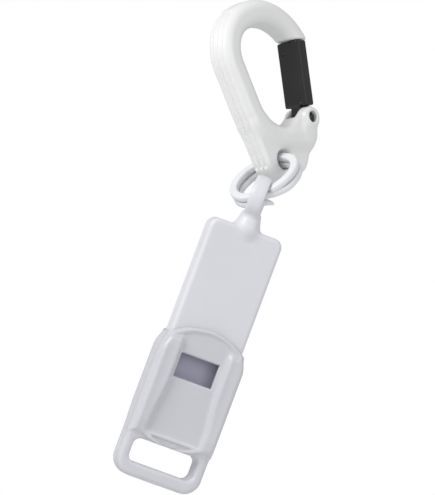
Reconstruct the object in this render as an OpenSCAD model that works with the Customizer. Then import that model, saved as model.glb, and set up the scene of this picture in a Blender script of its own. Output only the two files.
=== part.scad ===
// Training whistle on a snap hook, stored hanging from the inside of the hook's bow.
// +Z is up along the whistle, +X runs across it to the right, and its front faces -Y.
// The origin is the point inside the bow where the whole thing hangs. Millimetres.

/* [Whistle body] */
// Width of the flat body
slab_w = 21.5; // [16:0.1:28]
// Length of the flat body, stem left out
slab_l = 59.1; // [45:0.1:80]
// Thickness of both halves together
slab_t = 5.8; // [4:0.1:9]
// Corner radius of the body's outline
slab_corner = 2.6; // [1.5:0.1:5]
// Rounding of the body's long edges
slab_edge = 1.1; // [0.4:0.1:2]
// Height of the eye's centre above the body
eye_rise = 8.9; // [6:0.1:14]
// Radius of the eye's hole
eye_hole_r = 4.1; // [2.5:0.1:4.5]
// Outer radius of the eye
eye_r = 5.8; // [4:0.1:7]
// Width of the eye along its hole
eye_w = 2.8; // [2:0.1:7]
// Turn of the eye about the whistle's length
eye_twist = -20; // [-60:1:0]
// Foot radius of the conical stem
stem_foot_r = 3.8; // [2:0.1:5]

/* [Sound parts] */
// Width of the air chamber
chamber_w = 15.4; // [10:0.1:18]
// Depth of the air chamber
chamber_t = 3.6; // [2:0.1:5]
// Width of the sound window in the body
sound_w = 11.4; // [8:0.1:14]
// Height of the sound window in the body
sound_h = 6.8; // [4:0.1:10]
// Gap of the windway above the insert
windway_gap = 1.1; // [0.6:0.1:1.6]

/* [Cover] */
// Width of the cover
cover_w = 24.6; // [22:0.1:32]
// Slot from the cover's shoulder line to its foot
cover_drop = 38.4; // [30:0.1:50]
// Rise of the lip's arch above the shoulder line
arch_rise = 5.9; // [3:0.1:9]
// Thickness of the cover's front and back walls
cover_wall = 1.25; // [0.8:0.05:2]
// Sliding clearance round the body, on each side
slide_gap = 0.15; // [0.1:0.01:0.3]
// Width of each side rail
rail_w = 5.4; // [3:0.1:7]
// Height of the rails over the centre panel
rail_h = 1.5; // [0.6:0.1:3]
// Width of the cord slot
slot_w = 19.2; // [12:0.1:21]
// Height of the cord slot
slot_h = 6.7; // [4:0.1:9]
// Thickness of the flat end round the slot
end_t = 6.2; // [3:0.1:8]

/* [Hook] */
// Thickness of the hook's bow
hook_t = 8; // [6:0.1:11]
// Width of the bow's band
band_w = 6.7; // [5:0.1:9]
// Thickness of the web round the ring's hole
web_t = 6.2; // [3:0.1:7]
// Radius of the ring's hole in the web
web_hole_r = 2.8; // [2.5:0.1:4]
// Radius of the pin's bore in the lugs
pin_bore_r = 1.85; // [1:0.05:2.2]
// Outer radius of the hinge lugs
lug_r = 2.95; // [2.5:0.1:4]
// Thickness over both lugs
lug_t = 8.6; // [6:0.1:11]
// Width of the gap between the lugs
lug_gap = 3.6; // [2:0.1:4.5]

/* [Gate] */
// Width of the gate in the hook's plane
gate_w = 4.1; // [3:0.1:7]
// Thickness of the gate
gate_t = 7.8; // [4:0.1:8]
// Running clearance of the gate on its pin
pin_gap = 0.05; // [0.02:0.01:0.1]

/* [Ring] */
// Radius of the ring's centre line
ring_r = 9.1; // [6:0.1:11]
// Radial thickness of the wire
wire_r = 2.3; // [1.5:0.1:3.5]
// Width of both turns side by side
wire_w = 4; // [3:0.1:6]

/* [Hidden] */
$fn = 48;
eps = 0.01;
half_t = slab_t / 2;
slab_low = -23.9;                      // lower end of the body, below the shoulder line
slab_top = slab_low + slab_l;
eye_z = slab_top + eye_rise;
well_gap = 0.3;                        // room under the body inside the cover

// Placement of the ring and the hook, from the eye's centre.
hook_at = [4.39, 10.87, 10.26];        // origin of the hook's own frame
ring_at = [2.27, 5.89, 5.06];          // centre of the ring
ring_tilt = 53.8;                      // lean of the ring's axis from upright
ring_turn = 194.3;                     // direction of that lean about Z
hook_turn = [-17, -42.15, 9.55, 47.3]; // turn about Z, lean about Y, lean about X, own turn

// Turns a point from the hook's own frame into the part's axes.
function about_x(p, a) = [p.x, p.y * cos(a) - p.z * sin(a), p.y * sin(a) + p.z * cos(a)];
function about_y(p, a) = [p.x * cos(a) + p.z * sin(a), p.y, -p.x * sin(a) + p.z * cos(a)];
function about_z(p, a) = [p.x * cos(a) - p.y * sin(a), p.x * sin(a) + p.y * cos(a), p.z];
function hook_turned(p) =
    about_z(about_y(about_x(about_z(p, hook_turn[3]), hook_turn[2]), hook_turn[1]), hook_turn[0]);

// Hook, own frame: x from spine to gate, z along the hook, origin near the ring's hole.
spine_x = -3;                          // centre line of the spine
bow_c = [8.4, 23.4];                    // centre of the big arc at the top
bow_r = 16.8;
top_r = 10.5;                          // smaller arc between the spine and the top
top_c = [spine_x + top_r, bow_c[1] + bow_r - top_r];
foot_r = 13.4;                         // arc between the spine and the foot of the bow
foot_z = 4.3;                           // centre line of the foot of the bow
foot_end = 14.4;                       // end of the foot, under the lugs
foot_c = [spine_x + foot_r, foot_z + foot_r];
pivot = [17.16, 6.63];                     // gate's pin
gate_lean = 21;                        // gate's lean from the spine's direction
gate_len = 21.5;                       // pin to the gate's free end
gate_low = 3.4;                        // pin to the gate's shoulder
gate_out = -0.3;                       // gate's bar outside the line from the pin
web_hole = [1.3, 0.1];                 // centre of the ring's hole in the web
web_flare = 1.5;                       // rounding of that hole on both faces
nose_gap = 0.25;                       // clearance between the gate and the nose
hang_a = 53;                           // place of the hanging point along the big arc

hang_local = [bow_c[0] + (bow_r - band_w / 2) * cos(hang_a), 0,
              bow_c[1] + (bow_r - band_w / 2) * sin(hang_a)];
origin_shift = -([0, 0, eye_z] + hook_at + hook_turned(hang_local));

function place(p) = origin_shift + p;
echo(eye = place([0, 0, eye_z]));
echo(hook_hole = place([0, 0, eye_z] + hook_at + hook_turned([web_hole[0], 0, web_hole[1]])),
     hook_axis = hook_turned([0, -1, 0]));
echo(pin = place([0, 0, eye_z] + hook_at + hook_turned([pivot[0], 0, pivot[1]])));
echo(ring = place([0, 0, eye_z] + ring_at));
echo(slot = place([0, 0, -31.2]), back_face = place([0, half_t + slide_gap + cover_wall, -15]));

carabiner_frame();
gate();
gate_tail();
gate_pin();
split_ring();
shell_front();
shell_back();
windway_insert();
cover();

// ---- placing helpers ----
module at_whistle() translate(origin_shift) children();
module at_hook()
    translate(origin_shift + [0, 0, eye_z] + hook_at)
    rotate([0, 0, hook_turn[0]]) rotate([0, hook_turn[1], 0]) rotate([hook_turn[2], 0, 0])
    rotate([0, 0, hook_turn[3]]) children();
// Stands a flat shape up in the XZ plane, centred on Y.
module upright(t) rotate([90, 0, 0]) linear_extrude(t, center = true) children();

// ---- drawing helpers ----
// Two circles and the straight strip that touches both on each side.
module strap(a, ra, b, rb) {
    d = norm(b - a);
    side = acos((ra - rb) / d);
    dir = atan2(b[1] - a[1], b[0] - a[0]);
    translate(a) circle(ra);
    translate(b) circle(rb);
    polygon([for (s = [1, -1]) each (s > 0
        ? [a + ra * [cos(dir + side), sin(dir + side)], b + rb * [cos(dir + side), sin(dir + side)]]
        : [b + rb * [cos(dir - side), sin(dir - side)], a + ra * [cos(dir - side), sin(dir - side)]])]);
}
module round_rect(w, h, r) {
    square([w - 2 * r, h], center = true);
    square([w, h - 2 * r], center = true);
    for (x = [-1, 1], y = [-1, 1]) translate([x * (w / 2 - r), y * (h / 2 - r)]) circle(r);
}
// A block centred on x and y, with rounded corners and edges, from three crossed profiles.
module soft_block(w, t, z0, z1, corner, edge) {
    h = z1 - z0;
    intersection() {
        translate([0, 0, (z0 + z1) / 2]) upright(t) round_rect(w, h, corner);
        translate([0, 0, z0]) linear_extrude(h) round_rect(w, t, edge);
        translate([0, 0, (z0 + z1) / 2]) rotate([90, 0, 90])
            linear_extrude(w, center = true) round_rect(t, h, edge);
    }
}

// ---- whistle body ----
module stem_and_eye() {
    translate([0, 0, slab_top - 2.6]) cylinder(h = 2.7, r1 = stem_foot_r, r2 = stem_foot_r - 0.4);
    translate([0, 0, slab_top]) cylinder(h = 4, r1 = stem_foot_r - 0.3, r2 = 2.5);
    translate([0, 0, eye_z]) rotate([0, 0, eye_twist]) rotate([0, 90, 0]) rotate_extrude() {
        translate([(eye_r + eye_hole_r) / 2, 0])
            round_rect(eye_r - eye_hole_r, eye_w, 0.7, $fn = 24);
        // wider outer band
        translate([eye_r - 0.4, 0]) square([0.8, eye_w + 1.4], center = true);
    }
}
// Keeps the half in front of (side = -1) or behind (side = 1) the parting plane.
module keep_half(side)
    intersection() {
        union() children();
        translate([-40, side < 0 ? -40 : 0, -60]) cube([80, 40, 140]);
    }
module half_body(side)
    difference() {
        keep_half(side) {
            soft_block(slab_w, slab_t, slab_low, slab_top, slab_corner, slab_edge);
            stem_and_eye();
        }
        // air chamber and the seat of the insert
        translate([-chamber_w / 2, -chamber_t / 2, slab_low + 3]) cube([chamber_w, chamber_t, slab_l - 8]);
        // open mouth of the windway and the insert
        translate([-sound_w / 2, -chamber_t / 2, slab_low - 1]) cube([sound_w, chamber_t, 6]);
    }
module shell_front() color([0.86, 0.86, 0.88]) at_whistle()
    difference() {
        half_body(-1);
        translate([-sound_w / 2, -half_t - 1, -9.1]) cube([sound_w, half_t + 1, sound_h]);
        // sloping edge that splits the air
        translate([-sound_w / 2, -half_t, -9.1 + sound_h]) rotate([-28, 0, 0]) mirror([0, 1, 0])
            translate([0, 0, -4]) cube([sound_w, 2, 7]);
    }
module shell_back() color([0.84, 0.84, 0.86]) at_whistle() half_body(1);
module windway_insert() color([0.56, 0.56, 0.61]) at_whistle() {
    floor_y = -chamber_t / 2 + windway_gap;
    fit = 0.05;
    back_y = chamber_t / 2 - fit;
    // block under the windway, its wings in the chamber and its tongue in the mouth
    translate([-chamber_w / 2 + fit, floor_y, slab_low + 3 + fit])
        cube([chamber_w - 2 * fit, back_y - floor_y, -9.1 - slab_low - 3 - fit]);
    translate([-sound_w / 2 + fit, floor_y, slab_low])
        cube([sound_w - 2 * fit, back_y - floor_y, 5]);
    // thin floor that runs on behind the window
    translate([-chamber_w / 2 + fit, floor_y + 0.5, -9.2]) cube([chamber_w - 2 * fit, 1, 12]);
}

// ---- cover ----
module cover_outline() {
    foot_r = 4.8;
    half = cover_w / 2;
    intersection() {
        union() {
            // straight sides, with rounded corners at the foot
            for (s = [-1, 1]) translate([s * (half - foot_r), -cover_drop + foot_r]) circle(foot_r);
            translate([-half + foot_r, -cover_drop]) square([cover_w - 2 * foot_r, 10]);
            translate([-half, -cover_drop + foot_r]) square([cover_w, cover_drop - foot_r - 2.6]);
            // sloping shoulders up to the arch
            polygon([[-half, -2.7], [-half + 2.2, 1.9], [half - 2.2, 1.9], [half, -2.7]]);
            // arched lip
            translate([0, arch_rise - 17.3]) circle(17.3, $fn = 96);
        }
        translate([-half, -cover_drop]) square([cover_w, cover_drop + arch_rise]);
    }
}
module cover_hollow(extra = 0)
    translate([-slab_w / 2 - slide_gap, -half_t - slide_gap, slab_low - well_gap])
        cube([slab_w + 2 * slide_gap, slab_t + 2 * slide_gap, 60]);
module cover() color([0.82, 0.82, 0.85, 0.75]) at_whistle() {
    face = half_t + slide_gap + cover_wall;
    flat_end = slab_low - well_gap - 1.6;
    difference() {
        union() {
            // walls round the body
            intersection() {
                upright(2 * face) cover_outline();
                translate([-20, -10, flat_end]) cube([40, 20, 60]);
            }
            // flat end with the cord slot
            intersection() {
                upright(end_t) cover_outline();
                translate([-20, -10, -60]) cube([40, 20, 60 + flat_end + 0.2]);
            }
            // side rails, rounded in front
            for (s = [-1, 1]) intersection() {
                translate([s * (cover_w / 2 - rail_w / 2), -face, -60]) linear_extrude(70)
                    scale([1, 1]) rail_section();
                translate([0, -5, 0]) upright(20) cover_outline();
                translate([-20, -20, flat_end]) cube([40, 20, 60]);
            }
        }
        cover_hollow();
        // window in the panel
        translate([-6.1, -face - 1, -9]) cube([11.4, face + 0.5, 6.9]);
        // cord slot
        translate([0, 0, -31.2]) upright(20) round_rect(slot_w, slot_h, 2);
    }
}
module rail_section() {
    r = 1.5;
    translate([-rail_w / 2 + r, -rail_h + r - eps]) circle(r);
    translate([rail_w / 2 - r, -rail_h + r - eps]) circle(r);
    translate([-rail_w / 2 + r, -rail_h - eps]) square([rail_w - 2 * r, rail_h + eps + 1]);
    translate([-rail_w / 2, -rail_h + r - eps]) square([rail_w, 1]);
}

// ---- ring ----
module split_ring() color([0.9, 0.9, 0.92])
    translate(origin_shift + [0, 0, eye_z] + ring_at) rotate([0, 0, ring_turn]) rotate([0, ring_tilt, 0]) {
        turn_gap = 0.2;
        turn_w = (wire_w - turn_gap) / 2;
        for (s = [-1, 1]) rotate([0, 0, s * 9]) rotate_extrude(angle = 352, $fn = 96)
            translate([ring_r, s * (turn_w + turn_gap) / 2]) round_rect(wire_r, turn_w, 0.7);
        // crossover that joins the two turns
        rotate([0, 0, 150]) rotate_extrude(angle = 30, $fn = 96)
            translate([ring_r, 0]) square([wire_r - 0.6, turn_w], center = true);
    }

// ---- hook ----
// Section of the band, its outer side at +x.
module band_section() round_rect(band_w, hook_t, 2.7, $fn = 28);
module band_arc(c, r, from, to)
    translate([c[0], 0, c[1]]) rotate([90, 0, 0]) rotate([0, 0, from])
        rotate_extrude(angle = to - from, $fn = 60) translate([r, 0]) band_section();
// Room below the nose's end face, for the gate's free end.
module below_nose()
    translate([pivot[0], 0, pivot[1]]) rotate([0, gate_lean, 0])
        translate([-7, -6, gate_len + nose_gap - 10]) cube([14, 12, 10]);
module hook_band() {
    // spine
    translate([spine_x, 0, foot_c[1]]) mirror([1, 0, 0])
        linear_extrude(top_c[1] - foot_c[1]) band_section();
    band_arc(top_c, top_r, 90, 180);
    // short straight across the top
    translate([top_c[0], 0, top_c[1] + top_r]) rotate([0, 90, 0])
        linear_extrude(bow_c[0] - top_c[0]) band_section();
    difference() {
        band_arc(bow_c, bow_r, 0, 90);
        below_nose();
    }
    band_arc(foot_c, foot_r, 180, 270);
    // foot of the bow towards the lugs, its top sloping down
    difference() {
        translate([foot_c[0], 0, foot_z]) rotate([0, 90, 0])
            linear_extrude(foot_end - foot_c[0]) band_section();
        translate([foot_c[0], 0, foot_z + band_w / 2 - 0.4]) rotate([0, gate_lean, 0])
            translate([-1, -6, 0]) cube([8, 12, 5]);
    }
}
module carabiner_frame() color([0.95, 0.95, 0.95]) at_hook()
    difference() {
        union() {
            hook_band();
            // lugs and their neck
            translate([pivot[0], 0, pivot[1]]) rotate([90, 0, 0])
                cylinder(h = lug_t, r = lug_r, center = true);
            upright(hook_t) strap([14.5, 3], 3.1, pivot, 2.7);
            // web with the ring's hole
            upright(web_t) {
                strap([0, 0.6], 6.4, [6.1, 0.6], 5.7);
                strap([6.1, 0.6], 5.7, [16, 5.8], 4);
                translate([-6.2, 1]) square([4.6, 17]);
                square([15, 5.5]);
            }
        }
        // ring's hole, flared on both faces
        translate([web_hole[0], 0, web_hole[1]]) rotate([90, 0, 0]) {
            cylinder(h = 20, r = web_hole_r, center = true);
            for (s = [0, 1]) mirror([0, 0, s]) rotate_extrude() difference() {
                translate([0, web_t / 2 - web_flare]) square([web_hole_r + web_flare, web_flare + 3]);
                translate([web_hole_r + web_flare, web_t / 2 - web_flare]) circle(web_flare);
            }
        }
        // slot between the lugs, and the pin's bore
        translate([pivot[0], 0, pivot[1]]) {
            rotate([90, 0, 0]) cylinder(h = 20, r = pin_bore_r, center = true);
            translate([-4.6, -lug_gap / 2, -3.4]) cube([12, lug_gap, 12]);
            rotate([90, 0, 0]) cylinder(h = lug_gap, r = 3.6, center = true);
        }
    }
module at_gate()
    at_hook() translate([pivot[0], 0, pivot[1]]) rotate([0, gate_lean, 0]) children();
module gate() color([0.1, 0.1, 0.1]) at_gate()
    difference() {
        cut = 0.5;
        tang_t = lug_gap - 0.3;
        union() {
            // bar with bevelled edges
            translate([gate_out, 0, gate_low]) linear_extrude(gate_len - gate_low)
                for (sx = [1, -1]) polygon([
                    [0, -gate_t / 2], [sx * (gate_w / 2 - cut), -gate_t / 2],
                    [sx * gate_w / 2, -gate_t / 2 + cut], [sx * gate_w / 2, gate_t / 2 - cut],
                    [sx * (gate_w / 2 - cut), gate_t / 2], [0, gate_t / 2]]);
            // tang and knuckle on the pin
            rotate([90, 0, 0]) cylinder(h = tang_t, r = 2.75, center = true);
            translate([-1.9, -tang_t / 2, 0]) cube([3.4, tang_t, gate_low + 1]);
        }
        rotate([90, 0, 0]) cylinder(h = 20, r = pin_bore_r + pin_gap, center = true);
    }
// Spring finger from the knuckle to the inner wall of the slot.
module gate_tail() color([0.12, 0.12, 0.12]) at_hook()
    translate([pivot[0] - 4.4, -1, pivot[1] - 2.6]) cube([2.3, 2, 0.8]);
module gate_pin() color([0.08, 0.08, 0.08]) at_hook()
    translate([pivot[0], 0, pivot[1]]) rotate([90, 0, 0])
        cylinder(h = lug_t - 2.2, r = pin_bore_r, center = true);
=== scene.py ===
"""Training whistle on a snap hook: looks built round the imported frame.

Every visible piece is drawn as a distance field in millimetres and turned into a smooth mesh,
so its edges and fillets are real shape. Most lengths repeat those of the CAD part. The hook's band,
the pin's bore and the cover's flat end are drawn nearer to how the real ones look.
"""
import math

import bpy
import numpy as np
from mathutils import Matrix, Vector


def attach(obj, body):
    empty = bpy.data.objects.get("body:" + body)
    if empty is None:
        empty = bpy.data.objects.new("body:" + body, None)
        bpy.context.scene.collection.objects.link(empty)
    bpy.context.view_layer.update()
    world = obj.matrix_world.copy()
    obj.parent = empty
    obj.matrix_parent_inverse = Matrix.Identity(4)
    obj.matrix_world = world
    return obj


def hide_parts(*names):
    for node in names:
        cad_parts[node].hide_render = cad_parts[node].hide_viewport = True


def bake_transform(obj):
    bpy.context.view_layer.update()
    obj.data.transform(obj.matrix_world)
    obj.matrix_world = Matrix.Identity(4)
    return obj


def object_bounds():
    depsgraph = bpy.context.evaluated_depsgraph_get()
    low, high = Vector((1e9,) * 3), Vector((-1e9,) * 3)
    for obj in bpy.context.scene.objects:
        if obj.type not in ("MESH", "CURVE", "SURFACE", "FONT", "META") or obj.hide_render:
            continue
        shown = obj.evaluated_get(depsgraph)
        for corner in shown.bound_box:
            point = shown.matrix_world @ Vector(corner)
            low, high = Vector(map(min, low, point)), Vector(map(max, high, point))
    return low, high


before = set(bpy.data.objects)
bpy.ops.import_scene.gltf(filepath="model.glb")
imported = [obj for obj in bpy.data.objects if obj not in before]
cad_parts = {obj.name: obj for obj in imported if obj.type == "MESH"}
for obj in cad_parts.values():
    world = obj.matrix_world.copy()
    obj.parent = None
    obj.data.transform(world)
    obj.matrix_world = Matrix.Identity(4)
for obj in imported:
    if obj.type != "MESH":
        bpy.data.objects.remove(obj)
CAD_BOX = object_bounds()
MM = 0.001

# ---- sizes, in millimetres and degrees ----
SLAB_W, SLAB_T, SLAB_LOW, SLAB_TOP = 21.5, 5.8, -23.9, 35.2
SLAB_CORNER, SLAB_EDGE = 2.6, 1.1
EYE_Z, EYE_R, EYE_HOLE, EYE_W, EYE_TWIST = 44.1, 5.8, 4.1, 2.8, -20.0
STEM_FOOT, STEM_TOP = 3.7, 2.45
CHAMBER_W, CHAMBER_T = 15.4, 3.6
SOUND_W, SOUND_H, SOUND_LOW = 11.4, 6.8, -9.1
COVER_W, COVER_DROP, ARCH_RISE, ARCH_R = 24.6, 38.4, 5.9, 17.3
COVER_WALL, SLIDE_GAP, RAIL_H, FOOT_CORNER = 1.25, 0.15, 1.5, 4.8
SLOT_W, SLOT_H, SLOT_Z, END_T = 19.2, 6.7, -31.2, 7.0
HOOK_T, BAND_W, WEB_T, WEB_HOLE = 8.0, 7.3, 6.2, 2.7
WEB_HOLE_AT = (1.5, 0.1)
PIN_BORE, PIN_SUNK, LUG_R, LUG_T, LUG_GAP = 1.6, 1.1, 2.95, 8.6, 3.6
GATE_W, GATE_T, GATE_LOW, GATE_LEN, GATE_LEAN, GATE_OUT = 4.1, 7.8, 3.4, 21.5, 21.0, -0.3
SPINE_X, FOOT_Z, FOOT_ARC, TOP_ARC, BOW_ARC, BOW_C = -2.75, 4.0, 13.2, 10.4, 16.75, (8.7, 23.2)
RING_R, WIRE_R, WIRE_W = 9.1, 2.3, 4.0
PIVOT = (17.16, 6.63)
HOOK_AT = (4.39, 10.87, 10.26)
RING_AT = (2.27, 5.89, 5.06)
RING_TILT, RING_TURN = 53.8, 194.3
HOOK_TURN = (-17.0, -42.15, 9.55, 47.3)
ORIGIN_SHIFT = (8.73782, -21.4606, -88.3191)


def turn(axis, degrees):
    return Matrix.Rotation(math.radians(degrees), 4, axis)


WHISTLE = Matrix.Translation(ORIGIN_SHIFT)
EYE = WHISTLE @ Matrix.Translation((0, 0, EYE_Z))
HOOK = (EYE @ Matrix.Translation(HOOK_AT) @ turn("Z", HOOK_TURN[0]) @ turn("Y", HOOK_TURN[1])
        @ turn("X", HOOK_TURN[2]) @ turn("Z", HOOK_TURN[3]))
GATE = HOOK @ Matrix.Translation((PIVOT[0], 0, PIVOT[1])) @ turn("Y", GATE_LEAN)
RING = EYE @ Matrix.Translation(RING_AT) @ turn("Z", RING_TURN) @ turn("Y", RING_TILT)


# ---- camera, lights and floor ----
VIEW_HEIGHT = 133.784 * MM
CAMERA_TURN, CAMERA_ROLL = 17.0, 20.5
AIM_RIGHT, AIM_UP = 4.459, 27.703  # millimetres from the origin of the whistle's own frame
LENS, SENSOR = 420.0, 36.0
FLOOR_RADIUS, FLOOR_BELOW = 0.45, 0.17  # metres; the floor lies this far below the part
SKY_SEEN, SKY_LIGHT = 1.0, 0.56


def add_camera():
    """Long lens square to the view plane, rolled about its own axis."""
    data = bpy.data.cameras.new("camera")
    data.lens = LENS
    data.sensor_fit = "VERTICAL"
    data.sensor_height = SENSOR
    a, b = math.radians(CAMERA_TURN), math.radians(CAMERA_ROLL)
    flat = Vector((math.cos(a), -math.sin(a), 0))
    back = Vector((-math.sin(a), -math.cos(a), 0))
    up = Vector((0, 0, 1))
    right = flat * math.cos(b) + up * math.sin(b)
    top = up * math.cos(b) - flat * math.sin(b)
    aim = (Vector(ORIGIN_SHIFT) + right * AIM_RIGHT + top * AIM_UP) * MM
    far = VIEW_HEIGHT * LENS / SENSOR
    cam = bpy.data.objects.new("camera", data)
    facing = Matrix((right, top, back)).transposed().to_4x4()
    cam.matrix_world = Matrix.Translation(aim + back * far) @ facing
    bpy.context.scene.collection.objects.link(cam)
    bpy.context.scene.camera = cam
    return right, top, back, aim


def add_area(name, at, aim, size, watts):
    data = bpy.data.lights.new(name, "AREA")
    data.shape = "DISK"
    data.size = size
    data.energy = watts
    lamp = bpy.data.objects.new(name, data)
    lamp.matrix_world = Matrix.Translation(at) @ (at - aim).to_track_quat("Z", "Y").to_matrix().to_4x4()
    bpy.context.scene.collection.objects.link(lamp)


def add_world():
    world = bpy.data.worlds.new("studio")
    bpy.context.scene.world = world
    world.use_nodes = True
    nodes, links = world.node_tree.nodes, world.node_tree.links
    nodes.clear()
    out = nodes.new("ShaderNodeOutputWorld")
    mix = nodes.new("ShaderNodeMixShader")
    path = nodes.new("ShaderNodeLightPath")
    seen = nodes.new("ShaderNodeBackground")
    seen.inputs["Color"].default_value = (1, 1, 1, 1)
    seen.inputs["Strength"].default_value = SKY_SEEN
    light = nodes.new("ShaderNodeBackground")
    light.inputs["Color"].default_value = (0.97, 0.98, 1, 1)
    light.inputs["Strength"].default_value = SKY_LIGHT
    links.new(path.outputs["Is Camera Ray"], mix.inputs["Fac"])
    links.new(light.outputs[0], mix.inputs[1])
    links.new(seen.outputs[0], mix.inputs[2])
    links.new(mix.outputs[0], out.inputs[0])


def add_floor(material):
    mesh = bpy.data.meshes.new("floor")
    steps, z = 96, CAD_BOX[0][2] - FLOOR_BELOW
    angles = [2 * math.pi * i / steps for i in range(steps)]
    rim = [(FLOOR_RADIUS * math.cos(a), FLOOR_RADIUS * math.sin(a), z) for a in angles]
    mesh.from_pydata(rim, [], [list(range(steps))])
    floor = bpy.data.objects.new("floor", mesh)
    mesh.materials.append(material)
    bpy.context.scene.collection.objects.link(floor)


# ---- distance fields; p is an array of points in millimetres ----
def length(*parts):
    return np.sqrt(sum(q * q for q in parts))


def rounded(dx, dy, r):
    """Distance to a corner-rounded overlap of two slabs, from each slab's own distance."""
    qx, qy = dx + r, dy + r
    return np.minimum(np.maximum(qx, qy), 0) + length(np.maximum(qx, 0), np.maximum(qy, 0)) - r


def box(p, low, high, r):
    """Block with rounded edges."""
    q = [np.abs(p[..., i] - (low[i] + high[i]) / 2) - (high[i] - low[i]) / 2 + r for i in range(3)]
    inside = np.minimum(np.maximum(np.maximum(q[0], q[1]), q[2]), 0)
    return inside + length(*[np.maximum(v, 0) for v in q]) - r


def join(a, b, k):
    """Union with a fillet of about k."""
    h = np.maximum(k - np.abs(a - b), 0) / k
    return np.minimum(a, b) - h * h * k * 0.25


def cut(a, b, k):
    """Takes b away from a, with its rim rounded by about k."""
    return -join(-a, b, k)


def cone(p, axis_z0, axis_z1, r0, r1):
    """Round-ended cone along z."""
    r = length(p[..., 0], p[..., 1])
    l = axis_z1 - axis_z0
    slope = (r0 - r1) / l
    c = math.sqrt(max(1 - slope * slope, 0))
    z = p[..., 2] - axis_z0
    along = r * -slope + z * c
    d = r * c + z * slope - r0
    d = np.where(along < 0, length(r, z) - r0, d)
    return np.where(along > c * l, length(r, z - l) - r1, d)


def track(x, z, line, widths):
    """Distance to a polyline in a plane, less its half width there."""
    best = np.full(x.shape, 1e9)
    for (ax, az), (bx, bz), wa, wb in zip(line[:-1], line[1:], widths[:-1], widths[1:]):
        ex, ez = bx - ax, bz - az
        t = np.clip(((x - ax) * ex + (z - az) * ez) / (ex * ex + ez * ez), 0, 1)
        best = np.minimum(best, length(x - ax - t * ex, z - az - t * ez) - (wa + (wb - wa) * t))
    return best


def strap(x, z, a, ra, b, rb):
    return track(x, z, [a, b], [ra, rb])


# ---- fields to meshes ----
SETTLE_ROUNDS = 3


def surface(field, low, high, step):
    """Meshes a field's zero level with surface nets, then draws the points onto it."""
    def at(points):
        return field(points[:, None, :])[:, 0]

    n = [int(math.ceil((high[i] - low[i]) / step)) + 1 for i in range(3)]
    axes = [low[i] + step * np.arange(n[i]) for i in range(3)]
    values = np.empty(n)
    for i, x in enumerate(axes[0]):
        p = np.stack(np.meshgrid([x], axes[1], axes[2], indexing="ij"), -1)
        values[i] = field(p)[0]
    rim = min(values[[0, -1]].min(), values[:, [0, -1]].min(), values[:, :, [0, -1]].min())
    if rim <= 0:
        raise ValueError("a piece reaches the edge of its meshing box")
    cells = [k - 1 for k in n]
    total, count = np.zeros(cells + [3]), np.zeros(cells, dtype=np.int8)
    corners = [(i, j, k) for i in (0, 1) for j in (0, 1) for k in (0, 1)]
    for a in corners:
        for axis in range(3):
            if a[axis]:
                continue
            b = tuple(1 if m == axis else a[m] for m in range(3))
            va = values[a[0]:a[0] + cells[0], a[1]:a[1] + cells[1], a[2]:a[2] + cells[2]]
            vb = values[b[0]:b[0] + cells[0], b[1]:b[1] + cells[1], b[2]:b[2] + cells[2]]
            hit = (va < 0) != (vb < 0)
            t = va[hit] / (va[hit] - vb[hit])
            point = np.array(a, float) + t[:, None] * (np.array(b) - np.array(a))
            total[hit] += point
            count[hit] += 1
    used = count > 0
    index = np.full(cells, -1, dtype=np.int64)
    index[used] = np.arange(used.sum())
    verts = (np.argwhere(used) + total[used] / count[used][:, None]) * step + np.array(low)
    faces = []
    inside = values < 0
    for axis in range(3):
        u, v = (axis + 1) % 3, (axis + 2) % 3
        here = [slice(1, -1)] * 3
        here[axis] = slice(0, -1)
        there = list(here)
        there[axis] = slice(1, None)
        s0, s1 = inside[tuple(here)], inside[tuple(there)]
        for sign in (True, False):
            crossing = np.argwhere((s0 == sign) & (s1 != sign))
            crossing = crossing + np.array([0 if m == axis else 1 for m in range(3)])
            quad = []
            for du, dv in ((1, 1), (0, 1), (0, 0), (1, 0)):
                c = crossing.copy()
                c[:, u] -= du
                c[:, v] -= dv
                quad.append(index[c[:, 0], c[:, 1], c[:, 2]])
            quad = np.stack(quad, 1)
            faces.append(quad if sign else quad[:, ::-1])
    faces = np.concatenate(faces)
    h = step * 0.2
    for _ in range(SETTLE_ROUNDS):
        d = at(verts)
        slope = np.stack([(at(verts + h * e) - at(verts - h * e)) / (2 * h) for e in np.eye(3)], 1)
        size = np.maximum((slope ** 2).sum(1), 0.25)
        move = -slope * (d / size)[:, None]
        far = np.sqrt((move ** 2).sum(1))
        verts = verts + move * np.minimum(1, 0.4 * step / np.maximum(far, 1e-9))[:, None]
    return verts, faces.tolist()


def piece(name, verts, faces, place, body, material, replaced, bend=None):
    """Puts a mesh into the frame and fixes it to its body; given bend, it only bakes the mesh where it
    stands and fixes it to no body.
    """
    mesh = bpy.data.meshes.new(name)
    turned = np.array(place.to_3x3())
    world = (np.asarray(verts) @ turned.T + np.array(place.translation)) * MM
    mesh.from_pydata(world.tolist(), [], faces)
    mesh.validate()
    mesh.polygons.foreach_set("use_smooth", [True] * len(mesh.polygons))
    mesh.materials.append(material)
    obj = bpy.data.objects.new(name, mesh)
    bpy.context.scene.collection.objects.link(obj)
    if bend:
        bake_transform(obj)
    else:
        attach(obj, body)
    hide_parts(*replaced)


# ---- materials ----
PLASTIC_IOR = 1.49
FLOW_SCALE, GRAIN_SCALE = 60.0, 900.0
GLOSS_SPREAD = 0.05


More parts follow.
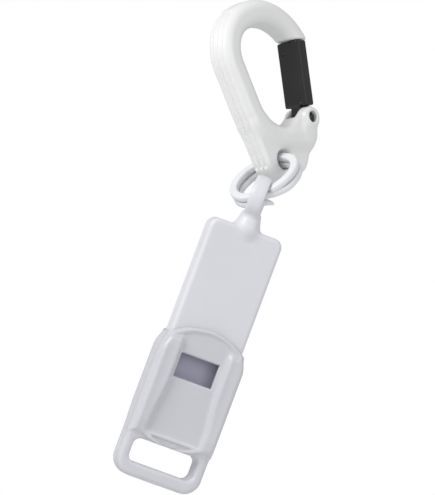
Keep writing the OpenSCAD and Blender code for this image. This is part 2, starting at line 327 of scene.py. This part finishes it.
def plastic(name, colour, rough, mottle=0.02, bump=0.02, subsurface=0.0, transmission=0.0):
    """Moulded plastic: faint flow marks in colour and gloss, and a fine surface grain."""
    mat = bpy.data.materials.new(name)
    mat.use_nodes = True
    nodes, links = mat.node_tree.nodes, mat.node_tree.links
    nodes.clear()
    out = nodes.new("ShaderNodeOutputMaterial")
    shader = nodes.new("ShaderNodeBsdfPrincipled")
    links.new(shader.outputs[0], out.inputs[0])
    shader.inputs["IOR"].default_value = PLASTIC_IOR
    shader.inputs["Subsurface Weight"].default_value = subsurface
    shader.inputs["Subsurface Radius"].default_value = (1.0, 0.95, 0.9)
    shader.inputs["Subsurface Scale"].default_value = 0.0015
    shader.inputs["Transmission Weight"].default_value = transmission
    coord = nodes.new("ShaderNodeTexCoord")
    flow = nodes.new("ShaderNodeTexNoise")
    flow.inputs["Scale"].default_value = FLOW_SCALE
    flow.inputs["Detail"].default_value = 3.0
    flow.inputs["Distortion"].default_value = 0.6
    links.new(coord.outputs["Object"], flow.inputs["Vector"])
    tint = nodes.new("ShaderNodeValToRGB")
    tint.color_ramp.elements[0].color = [max(c - mottle, 0) for c in colour] + [1]
    tint.color_ramp.elements[1].color = [min(c + mottle, 1) for c in colour] + [1]
    links.new(flow.outputs["Fac"], tint.inputs["Fac"])
    links.new(tint.outputs["Color"], shader.inputs["Base Color"])
    gloss = nodes.new("ShaderNodeMapRange")
    gloss.inputs["To Min"].default_value = rough - GLOSS_SPREAD
    gloss.inputs["To Max"].default_value = rough + GLOSS_SPREAD
    links.new(flow.outputs["Fac"], gloss.inputs["Value"])
    links.new(gloss.outputs["Result"], shader.inputs["Roughness"])
    fine = nodes.new("ShaderNodeTexNoise")
    fine.inputs["Scale"].default_value = GRAIN_SCALE
    fine.inputs["Detail"].default_value = 4.0
    links.new(coord.outputs["Object"], fine.inputs["Vector"])
    relief = nodes.new("ShaderNodeBump")
    relief.inputs["Strength"].default_value = bump
    relief.inputs["Distance"].default_value = 0.0003
    links.new(fine.outputs["Fac"], relief.inputs["Height"])
    links.new(relief.outputs["Normal"], shader.inputs["Normal"])
    return mat


HOOK_WHITE = plastic("hook_white", (0.78, 0.78, 0.77), 0.33, subsurface=0.15)
GATE_BLACK = plastic("gate_black", (0.010, 0.010, 0.011), 0.36, mottle=0.005, bump=0.1)
RING_WHITE = plastic("ring_white", (0.77, 0.78, 0.80), 0.35, subsurface=0.1)
BODY_WHITE = plastic("body_white", (0.68, 0.68, 0.715), 0.42, subsurface=0.1)
INSERT_GREY = plastic("insert_grey", (0.42, 0.42, 0.52), 0.5, bump=0.06)
COVER_FROST = plastic("cover_frost", (0.79, 0.79, 0.83), 0.26, transmission=0.3, bump=0.04)
FLOOR_PALE = plastic("floor_pale", (0.86, 0.86, 0.86), 0.8, mottle=0.01)

bpy.context.scene.view_settings.view_transform = "Standard"
RIGHT, UP, BACK, AIM = add_camera()
add_world()
add_floor(FLOOR_PALE)
add_area("key", AIM + RIGHT * -0.45 + UP * 0.55 + BACK * 0.5, AIM, 0.45, 5.0)
add_area("fill", AIM + RIGHT * 0.6 + UP * 0.1 + BACK * 0.45, AIM, 0.5, 1.3)


# ---- hook; its own frame has x from the spine to the gate and z along the hook ----
def arc(cx, cz, r, start, end, steps=14):
    """Points along an arc, its angles in degrees."""
    angles = [math.radians(start + (end - start) * i / steps) for i in range(steps + 1)]
    return [(cx + r * math.cos(a), cz + r * math.sin(a)) for a in angles]


TOP_C = (SPINE_X + TOP_ARC, BOW_C[1] + BOW_ARC - TOP_ARC)
FOOT_C = (SPINE_X + FOOT_ARC, FOOT_Z + FOOT_ARC)
FOOT_END = (13.4, 2.0)
HOOK_LINE = (arc(*BOW_C, BOW_ARC, 2, 90) + arc(*TOP_C, TOP_ARC, 90, 180)
             + arc(*FOOT_C, FOOT_ARC, 180, 248) + [FOOT_END])
# the band widens from the nose over its first points
NOSE_W, NOSE_POINTS = 5.8, 10
HOOK_WIDTHS = [NOSE_W / 2 + (BAND_W - NOSE_W) / 2 * min(i / NOSE_POINTS, 1) for i in range(len(HOOK_LINE))]
SPINE_LINE = (arc(*TOP_C, TOP_ARC + BAND_W / 2, 105, 180, 10)
              + [(SPINE_X - BAND_W / 2, 17.2), (-6.05, 12.0), (-5.85, 1.0)])
GROOVES, GROOVE_R = (-1.7, 0.0, 1.7), 0.42
NOSE_GAP = 0.25
GATE_ROW = np.array([math.sin(math.radians(GATE_LEAN)), math.cos(math.radians(GATE_LEAN))])
# circles that the straps of the web and neck join: centre and radius
WEB_LEFT, WEB_LEFT_R = (1.0, 0.3), 6.3
WEB_MID, WEB_MID_R = (6.1, 0.3), 5.9
WEB_RIGHT, WEB_RIGHT_R = (16.0, 5.8), 4.0
NECK_LOW, NECK_LOW_R, NECK_TOP_R = (14.3, 3.1), 3.0, 2.7
# slot for the gate's tang, from the pin: half width, middle, reach below and above, and knuckle's room
TANG_HALF, TANG_SHIFT, TANG_BELOW, TANG_ABOVE, KNUCKLE_ROOM = 6.0, 1.4, 3.4, 9.0, 3.7
THROUGH = 9.0  # half length of a cut that goes right through a piece


def web_outline(x, z):
    foot = join(strap(x, z, WEB_LEFT, WEB_LEFT_R, WEB_MID, WEB_MID_R),
                strap(x, z, WEB_MID, WEB_MID_R, WEB_RIGHT, WEB_RIGHT_R), 1.0)
    return join(foot, strap(x, z, (-1.9, 2.2), 3.9, (-2.6, 12.0), 3.4), 2.0)


def hook_field(p):
    x, y, z = p[..., 0], p[..., 1], p[..., 2]
    ay = np.abs(y)
    band = rounded(track(x, z, HOOK_LINE, HOOK_WIDTHS), ay - HOOK_T / 2, 2.9)
    # flat end of the nose, square to the gate
    along = (x - PIVOT[0]) * GATE_ROW[0] + (z - PIVOT[1]) * GATE_ROW[1]
    across = (x - PIVOT[0]) * GATE_ROW[1] - (z - PIVOT[1]) * GATE_ROW[0]
    below_nose = np.maximum(along - GATE_LEN - NOSE_GAP, np.abs(across) - THROUGH)
    below_nose = np.maximum(below_nose, GATE_LEN - THROUGH - along)
    band = cut(band, below_nose, 0.5)
    lug_d = length(x - PIVOT[0], z - PIVOT[1])
    lug = rounded(lug_d - LUG_R, ay - LUG_T / 2, 0.9)
    neck = rounded(strap(x, z, NECK_LOW, NECK_LOW_R, PIVOT, NECK_TOP_R), ay - LUG_T / 2 + 0.3, 1.2)
    web = rounded(web_outline(x, z), ay - WEB_T / 2, 1.5)
    solid = join(join(join(band, web, 1.6), neck, 1.0), lug, 0.8)
    # ring's hole with a rounded rim
    solid = cut(solid, length(x - WEB_HOLE_AT[0], z - WEB_HOLE_AT[1]) - WEB_HOLE, 1.6)
    # slot for the gate's tang, and the pin's bore
    gap = ay - LUG_GAP / 2
    tang = np.maximum(gap, np.abs(x - PIVOT[0] - TANG_SHIFT) - TANG_HALF)
    tang = np.maximum(np.maximum(tang, PIVOT[1] - TANG_BELOW - z), z - PIVOT[1] - TANG_ABOVE)
    tang = np.minimum(tang, np.maximum(gap, lug_d - KNUCKLE_ROOM))
    solid = cut(solid, tang, 0.35)
    solid = cut(solid, np.maximum(lug_d - PIN_BORE, ay - 30), 0.35)
    # three fine grooves down the outside of the spine
    edge = track(x, z, SPINE_LINE, [0.0] * len(SPINE_LINE))
    for groove_y in GROOVES:
        solid = cut(solid, length(edge, y - groove_y) - GROOVE_R, 0.45)
    return solid


def make_hook():
    verts, faces = surface(hook_field, (-8, -5, -7.4), (30.5, 5, 45), 0.27)
    piece("hook_body", verts, faces, HOOK, "hook", HOOK_WHITE, ["carabiner_frame"])


# ---- gate; its own frame has the pin at the origin and z along the bar ----
GATE_BEVEL, TANG_PLAY, PIN_PLAY = 0.6, 0.3, 0.05
KNUCKLE_R, DIMPLE_R = 2.75, 0.5
DIMPLES = ((1.6, GATE_LEN - 3.4), (-2.6, GATE_LOW + 1.0))


def gate_field(p):
    x, y, z = p[..., 0], p[..., 1], p[..., 2]
    ay, ax = np.abs(y), np.abs(x - GATE_OUT)
    bar = np.maximum(ax - GATE_W / 2, ay - GATE_T / 2)
    bar = np.maximum(bar, (ax + ay - (GATE_W + GATE_T) / 2 + GATE_BEVEL) * math.sqrt(0.5))
    bar = rounded(bar, np.abs(z - (GATE_LOW + GATE_LEN) / 2) - (GATE_LEN - GATE_LOW) / 2, 0.5)
    # shallow dimple near each end of the inner face
    for dimple_y, dimple_z in DIMPLES:
        bar = cut(bar, length(x - GATE_OUT + GATE_W / 2 + 0.2, y - dimple_y, z - dimple_z) - DIMPLE_R, 0.2)
    tang_t = (LUG_GAP - TANG_PLAY) / 2
    tang = rounded(strap(x, z, (0, 0), KNUCKLE_R, (GATE_OUT, GATE_LOW + 1), 1.6), ay - tang_t, 0.4)
    solid = join(bar, tang, 0.7)
    return cut(solid, np.maximum(length(x, z) - PIN_BORE - PIN_PLAY, ay - THROUGH), 0.2)


def make_gate():
    verts, faces = surface(gate_field, (-3.6, -4.3, -3.3), (3.6, 4.3, 22.8), 0.2)
    piece("gate_bar", verts, faces, GATE, "gate", GATE_BLACK, ["gate"])


def pin_field(p):
    d = length(p[..., 0], p[..., 2]) - PIN_BORE
    solid = rounded(d, np.abs(p[..., 1]) - LUG_T / 2 + PIN_SUNK, 0.3)
    # small centre mark left by the mould in each end
    mark_y = LUG_T / 2 - PIN_SUNK + 0.4
    for side in (-1, 1):
        solid = cut(solid, length(p[..., 0], p[..., 2], p[..., 1] - side * mark_y) - 0.7, 0.2)
    return solid


def make_pin():
    verts, faces = surface(pin_field, (-2.2, -4.4, -2.2), (2.2, 4.4, 2.2), 0.15)
    place = HOOK @ Matrix.Translation((PIVOT[0], 0, PIVOT[1]))
    piece("hinge_pin", verts, faces, place, "hook", GATE_BLACK, ["gate_pin"])


TAIL_ROOT, TAIL_TIP, TAIL_Z, TAIL_HALF_W, TAIL_HALF_T = -2.1, -4.35, -2.2, 0.95, 0.4


def tail_field(p):
    return box(p, (TAIL_TIP, -TAIL_HALF_W, TAIL_Z - TAIL_HALF_T),
               (TAIL_ROOT, TAIL_HALF_W, TAIL_Z + TAIL_HALF_T), 0.25)


def make_tail():
    """The gate's spring finger, baked in place where it stands and fixed to no body."""
    verts, faces = surface(tail_field, (-4.8, -1.4, -3.0), (-1.7, 1.4, -1.4), 0.13)
    place = HOOK @ Matrix.Translation((PIVOT[0], 0, PIVOT[1]))
    piece("spring_finger", verts, faces, place, "gate", GATE_BLACK, ["gate_tail"],
          bend=("hook", (TAIL_ROOT, 0, TAIL_Z), (TAIL_TIP, 0, TAIL_Z)))


# ---- ring; its own frame has z along the ring's axis ----
RING_START = math.radians(62)   # place of the first tip
BOWED_AT = math.radians(288)    # where the two turns stand furthest apart
TURNS, RING_STEPS, TURN_GAP = 1.985, 320, 0.2
CROSSOVER = 0.22                # length of the step between the turns, in turns
BOW_GAP, SPRING, SPRING_LEN = 0.35, 1.9, 4.5
WIRE_ROUND = 0.62


def ease(t):
    t = np.clip(t, 0, 1)
    return t * t * (3 - 2 * t)


def tip_size(from_start, to_end):
    """Share of its full size that the wire has near a tip: a long taper first, a blunt end last."""
    first = 0.42 + 0.58 * min(from_start / 2.6, 1) ** 0.6
    last = 0.8 + 0.2 * min(to_end / 0.6, 1) ** 0.5
    return min(first, last)


def make_ring():
    """Two turns of flat-sided wire wound as one coil."""
    turn_w = (WIRE_W - TURN_GAP) / 2
    pitch = turn_w + TURN_GAP
    wire_length = TURNS * 2 * math.pi * RING_R
    section = []
    for cx, cz, start in ((1, 1, 0), (-1, 1, 90), (-1, -1, 180), (1, -1, 270)):
        for i in range(5):
            a = math.radians(start + 22.5 * i)
            section.append((cx, cz, math.cos(a), math.sin(a)))
    verts, faces = [], []
    for i in range(RING_STEPS + 1):
        t = i / RING_STEPS
        angle = RING_START - 2 * math.pi * TURNS * t
        # the coil steps across from one turn to the other over a short stretch
        ramp = float(ease((t - 0.5) * TURNS / CROSSOVER + 0.5))
        from_start = t * wire_length
        # the first tip springs away from its neighbour, and the turns bow apart on one side
        spring = max(1 - from_start / SPRING_LEN, 0) ** 2.5
        side = max(math.cos(angle - BOWED_AT), 0) ** 6
        lift = (ramp - 0.5) * (pitch + BOW_GAP * side) - SPRING * spring
        shrink = tip_size(from_start, wire_length - from_start)
        half_r, half_w, soft = WIRE_R / 2 * shrink, turn_w / 2 * shrink, WIRE_ROUND * shrink
        for cx, cz, ox, oz in section:
            r = RING_R + cx * (half_r - soft) + ox * soft
            across = lift + cz * (half_w - soft) + oz * soft
            verts.append((r * math.cos(angle), r * math.sin(angle), across))
    n = len(section)
    for i in range(RING_STEPS):
        for j in range(n):
            faces.append((i * n + j, (i + 1) * n + j, (i + 1) * n + (j + 1) % n, i * n + (j + 1) % n))
    faces.append(tuple(range(n)))
    faces.append(tuple(RING_STEPS * n + j for j in reversed(range(n))))
    piece("ring_coil", verts, faces, RING, "ring", RING_WHITE, ["split_ring"])


# ---- whistle body; its own frame has z along it and its front facing -y ----
CHAMBER_LOW, MOUTH_TOP = SLAB_LOW + 3, SLAB_LOW + 5
EYE_ROUND, EYE_FLANGE, EYE_FLANGE_T = 0.7, 0.7, 0.9
WINDWAY_GAP, INSERT_FIT, INSERT_RUN = 1.1, 0.05, 11.9
SEAM_GAP = 0.03


def body_field(p):
    x, y, z = p[..., 0], p[..., 1], p[..., 2]
    mid, half_h = (SLAB_LOW + SLAB_TOP) / 2, (SLAB_TOP - SLAB_LOW) / 2
    plan = rounded(np.abs(x) - SLAB_W / 2, np.abs(z - mid) - half_h, SLAB_CORNER)
    slab = rounded(plan, np.abs(y) - SLAB_T / 2, SLAB_EDGE)
    stem = np.maximum(cone(p, SLAB_TOP - 0.2, EYE_Z - 4.6, STEM_FOOT, STEM_TOP), z - EYE_Z + 4.4)
    stem = join(slab, stem, 1.2)
    twist = math.radians(EYE_TWIST)
    along, across = x * math.cos(twist) + y * math.sin(twist), y * math.cos(twist) - x * math.sin(twist)
    ring_d = length(across, z - EYE_Z)
    mid_r, half_r = (EYE_R + EYE_HOLE) / 2, (EYE_R - EYE_HOLE) / 2
    eye = rounded(np.abs(ring_d - mid_r) - half_r, np.abs(along) - EYE_W / 2, EYE_ROUND)
    band = rounded(np.abs(ring_d - EYE_R + EYE_FLANGE_T / 2) - EYE_FLANGE_T / 2,
                   np.abs(along) - EYE_W / 2 - EYE_FLANGE, 0.4)
    eye = join(eye, band, 0.8)
    solid = join(stem, eye, 1.2)
    return cut(solid, np.maximum(ring_d - EYE_HOLE, np.abs(along) - THROUGH), 0.8)


def hollow(p):
    """Air chamber, seat of the insert and the mouth of the windway."""
    chamber = box(p, (-CHAMBER_W / 2, -CHAMBER_T / 2, CHAMBER_LOW),
                  (CHAMBER_W / 2, CHAMBER_T / 2, SLAB_TOP - 5), 0.3)
    mouth = box(p, (-SOUND_W / 2, -CHAMBER_T / 2, SLAB_LOW - 3),
                (SOUND_W / 2, CHAMBER_T / 2, MOUTH_TOP), 0.15)
    return np.minimum(chamber, mouth)


def front_field(p):
    x, y, z = p[..., 0], p[..., 1], p[..., 2]
    solid = cut(body_field(p), hollow(p), 0.15)
    window = box(p, (-SOUND_W / 2, -9, SOUND_LOW), (SOUND_W / 2, 0, SOUND_LOW + SOUND_H), 0.2)
    solid = cut(solid, window, 0.25)
    return cut(solid, SEAM_GAP - y, 0.16)


def back_field(p):
    solid = cut(body_field(p), hollow(p), 0.15)
    return cut(solid, p[..., 1] + SEAM_GAP, 0.16)


def make_body():
    low, high = (-11.4, -7.2, -24.6), (11.4, 7.2, 50.4)
    verts, faces = surface(front_field, low, (high[0], 0.6, high[2]), 0.3)
    piece("front_half", verts, faces, WHISTLE, "whistle", BODY_WHITE, ["shell_front"])
    verts, faces = surface(back_field, (low[0], -0.6, low[2]), high, 0.3)
    piece("back_half", verts, faces, WHISTLE, "whistle", BODY_WHITE, ["shell_back"])


def insert_field(p):
    floor_y, back_y = -CHAMBER_T / 2 + WINDWAY_GAP, CHAMBER_T / 2 - INSERT_FIT
    wide, narrow = CHAMBER_W / 2 - INSERT_FIT, SOUND_W / 2 - INSERT_FIT
    block = box(p, (-wide, floor_y, CHAMBER_LOW + INSERT_FIT), (wide, back_y, SOUND_LOW), 0.25)
    tongue = box(p, (-narrow, floor_y, SLAB_LOW), (narrow, back_y, MOUTH_TOP), 0.25)
    floor = box(p, (-wide, floor_y + 0.5, SOUND_LOW - 1),
                (wide, floor_y + 1.5, SOUND_LOW + INSERT_RUN), 0.2)
    return join(join(block, tongue, 0.2), floor, 0.3)


def make_insert():
    verts, faces = surface(insert_field, (-8.2, -1.2, -24.6), (8.2, 2.4, 3.4), 0.25)
    piece("windway_block", verts, faces, WHISTLE, "whistle", INSERT_GREY,
          ["windway_insert"])


# ---- cover, in the whistle's frame ----
SHOULDER_Z, SHOULDER_IN, SHOULDER_SLOPE = 1.9, 2.1, 0.85
SHOULDER_SCALE = 0.76           # turns the shoulder line's height into a distance
RAIL_INNER, RAIL_FLARE, RAIL_LOW = 6.85, 1.2, -26.4
RAIL_DIP, DIP_AT, DIP_HALF = 0.17, COVER_W / 2 - 2.9, 1.7
RIDGE_Z, RIDGE_HALF_W, RIDGE_R = -25.6, 8.2, 0.3
LIP_IN, LIP_R = 0.75, 0.55
WINDOW_LOW, WINDOW_HIGH = (-6.1, -12, -9.0), (5.3, -1, -2.1)


def arch_line(x, z):
    return length(x, z - ARCH_RISE + ARCH_R) - ARCH_R


def cover_plan(x, z):
    """Outline of the cover seen from the front."""
    side = np.abs(x) - COVER_W / 2
    foot = rounded(side, -COVER_DROP - z, FOOT_CORNER)
    shoulder = (side + SHOULDER_IN + (z - SHOULDER_Z) * SHOULDER_SLOPE) * SHOULDER_SCALE
    low_part = np.maximum(-join(-foot, -shoulder, 1.6), z - SHOULDER_Z)
    arch = np.maximum(np.maximum(arch_line(x, z), -z - 2), side + 1.2)
    return join(low_part, arch, 0.8)


def cover_field(p):
    x, y, z = p[..., 0], p[..., 1], p[..., 2]
    ax = np.abs(x)
    face = SLAB_T / 2 + SLIDE_GAP + COVER_WALL
    plan = cover_plan(x, z)
    # front and back run down to the flat end over a gentle ramp
    ramp = np.where(y < 0, ease((-z - 24.3) / 4.5), ease((-z - 18.0) / 9.0))
    half_t = face + (END_T / 2 - face) * ramp
    walls = rounded(plan, np.abs(y) - half_t, 1.3)
    # the side rails stand proud in front and flare apart towards the foot
    inner = RAIL_INNER + RAIL_FLARE * ease((-z - 9) / 14)
    proud = RAIL_H * (1 - 0.5 * ease((-z - 22.0) / 5.0)) * ease((1.6 - z) / 2.0 + 0.4)
    proud = proud - RAIL_DIP * np.maximum(1 - ((ax - DIP_AT) / DIP_HALF) ** 2, 0)
    rail_plan = np.maximum(np.maximum(inner - ax, plan + 0.3), RAIL_LOW - z)
    rail = rounded(rail_plan, np.abs(y + half_t + proud / 2 - 1.4) - 1.4 - proud / 2, 1.3)
    # low ridge that closes the chamber, and the lip's raised edge
    ridge = np.maximum(length((z - RIDGE_Z) * 0.8, y + face) - RIDGE_R, ax - RIDGE_HALF_W)
    lip = length(arch_line(x, z) + LIP_IN, y + face - 0.1) - LIP_R
    lip = np.maximum(lip, ax - COVER_W / 2 + 2.0)
    solid = join(join(join(walls, rail, 1.2), ridge, 0.4), lip, 0.5)
    # slot with a rounded rim
    slot_d = rounded(ax - SLOT_W / 2, np.abs(z - SLOT_Z) - SLOT_H / 2, 2.0)
    solid = cut(solid, np.maximum(slot_d, np.abs(y) - THROUGH), 1.0)
    # room for the body, and the window over its sound hole
    room_x, room_y = SLAB_W / 2 + SLIDE_GAP, SLAB_T / 2 + SLIDE_GAP
    room = box(p, (-room_x, -room_y, SLAB_LOW - 0.3), (room_x, room_y, 40), 0.6)
    solid = cut(solid, room, 0.3)
    return cut(solid, box(p, WINDOW_LOW, WINDOW_HIGH, 0.2), 0.25)


def make_cover():
    verts, faces = surface(cover_field, (-13, -6.4, -39.2), (13, 5.2, 6.7), 0.25)
    piece("end_cover", verts, faces, WHISTLE, "cover", COVER_FROST, ["cover"])


make_hook()
make_gate()
make_pin()
make_tail()
make_ring()
make_body()
make_insert()
make_cover()
